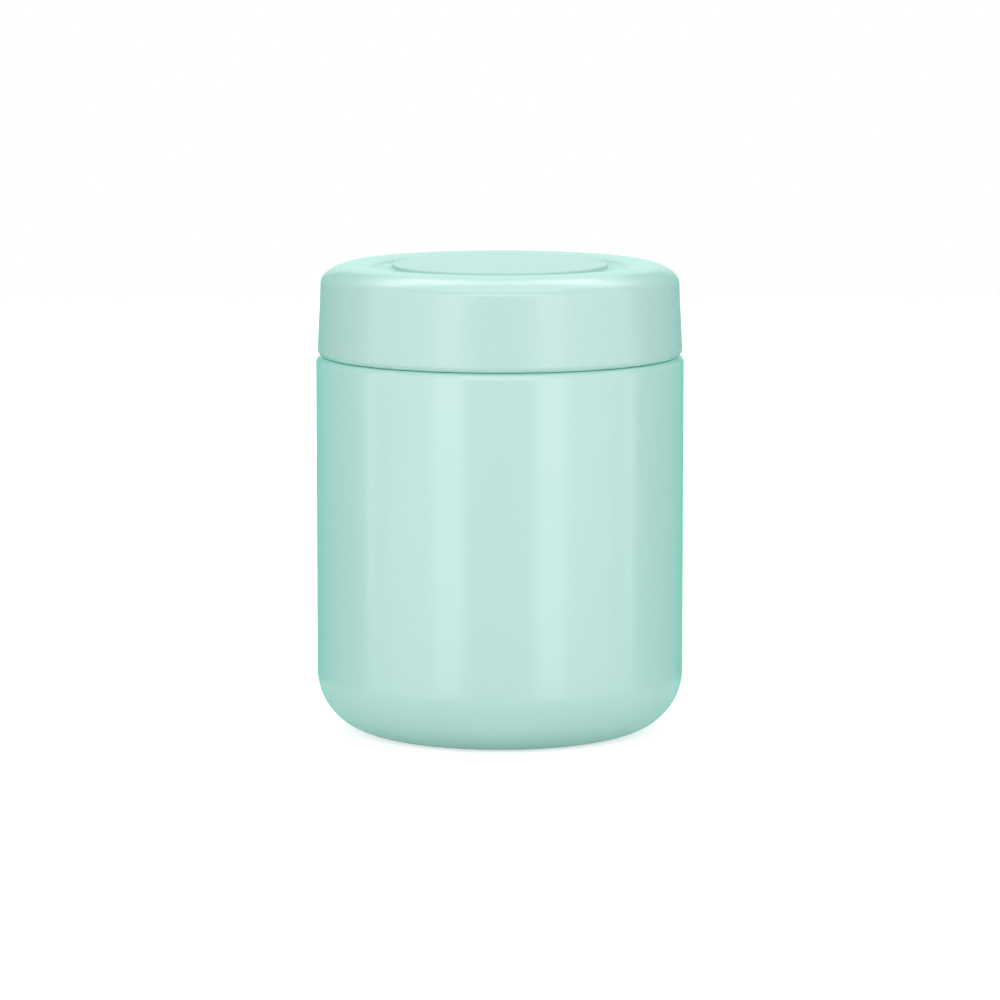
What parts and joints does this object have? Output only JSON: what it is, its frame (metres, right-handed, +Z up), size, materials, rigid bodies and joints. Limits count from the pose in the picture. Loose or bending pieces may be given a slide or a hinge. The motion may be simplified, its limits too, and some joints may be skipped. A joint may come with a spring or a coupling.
{
  "type": "insulated food jar",
  "caption": "Vacuum-insulated steel food jar with a rounded base and a screw-on lid whose outer cover vents the jar with a click before it unscrews.",
  "frame": {"origin": "centre of the foot, on the surface that the jar stands on", "axes": "+Z up along the jar's axis, out through the mouth; +X and +Y are free, as the jar is round"},
  "size_m": [0.095, 0.095, 0.1213],
  "materials": {
    "body_paint": "pale mint satin-gloss powder paint",
    "cover_plastic": "pale mint satin moulded plastic",
    "disc_plastic": "pale mint satin moulded plastic, flat disc",
    "base_steel": "satin stainless steel",
    "vessel_steel": "electropolished satin stainless steel",
    "neck_steel": "brushed stainless steel",
    "braze": "dull brazing metal",
    "cap_plastic": "pale grey plastic cap",
    "foil": "bright rolled foil",
    "getter": "pressed metal powder",
    "clip_steel": "stamped strip",
    "silicone": "translucent pale silicone",
    "lid_inner_plastic": "off-white polypropylene",
    "foam": "white expanded foam",
    "click_plastic": "pale grey acetal",
    "spring_steel": "bright spring wire"
  },
  "bodies": {
    "jar": {"body_shell": "body_paint", "base_plate": "base_steel", "seal_plug": "braze", "base_cap": "cap_plastic", "inner_vessel": "vessel_steel", "foil_wrap": "foil", "getter_pellet": "getter", "getter_clip": "clip_steel", "neck_sleeve": "neck_steel"},
    "seal": {"lid_gasket": "silicone"},
    "inner_lid": {"inner_lid": "lid_inner_plastic", "foam_ring": "foam", "lid_plate": "lid_inner_plastic", "click_ring": "click_plastic", "valve_spring": "spring_steel"},
    "cover": {"lid_cover": "cover_plastic", "top_disc": "disc_plastic", "retaining_ring": "lid_inner_plastic", "cam_ring": "click_plastic"},
    "valve": {"valve_stem": "click_plastic", "valve_gasket": "silicone"}
  },
  "joints": [
    {"name": "lid_rise", "type": "slide", "parent": "jar", "child": "seal", "axis": [0, 0, 1], "range_m": [0, 0.03]},
    {"name": "lid_turn", "type": "hinge", "parent": "seal", "child": "inner_lid", "pos_m": [0, 0, 0.1122], "axis": [0, 0, 1], "range_deg": [0, 900]},
    {"name": "cover_turn", "type": "hinge", "parent": "inner_lid", "child": "cover", "pos_m": [0, 0, 0.1172], "axis": [0, 0, 1], "range_deg": [0, 40]},
    {"name": "valve_push", "type": "slide", "parent": "inner_lid", "child": "valve", "axis": [0, 0, -1], "range_m": [0, 0.0018], "deforming": ["valve_spring"]}
  ],
  "couplings": [
    {"joint": "lid_rise", "follows": "lid_turn", "m_per_rad": 0.0019099},
    {"joint": "valve_push", "follows": "cover_turn", "m_per_rad": 0.0025783}
  ]
}
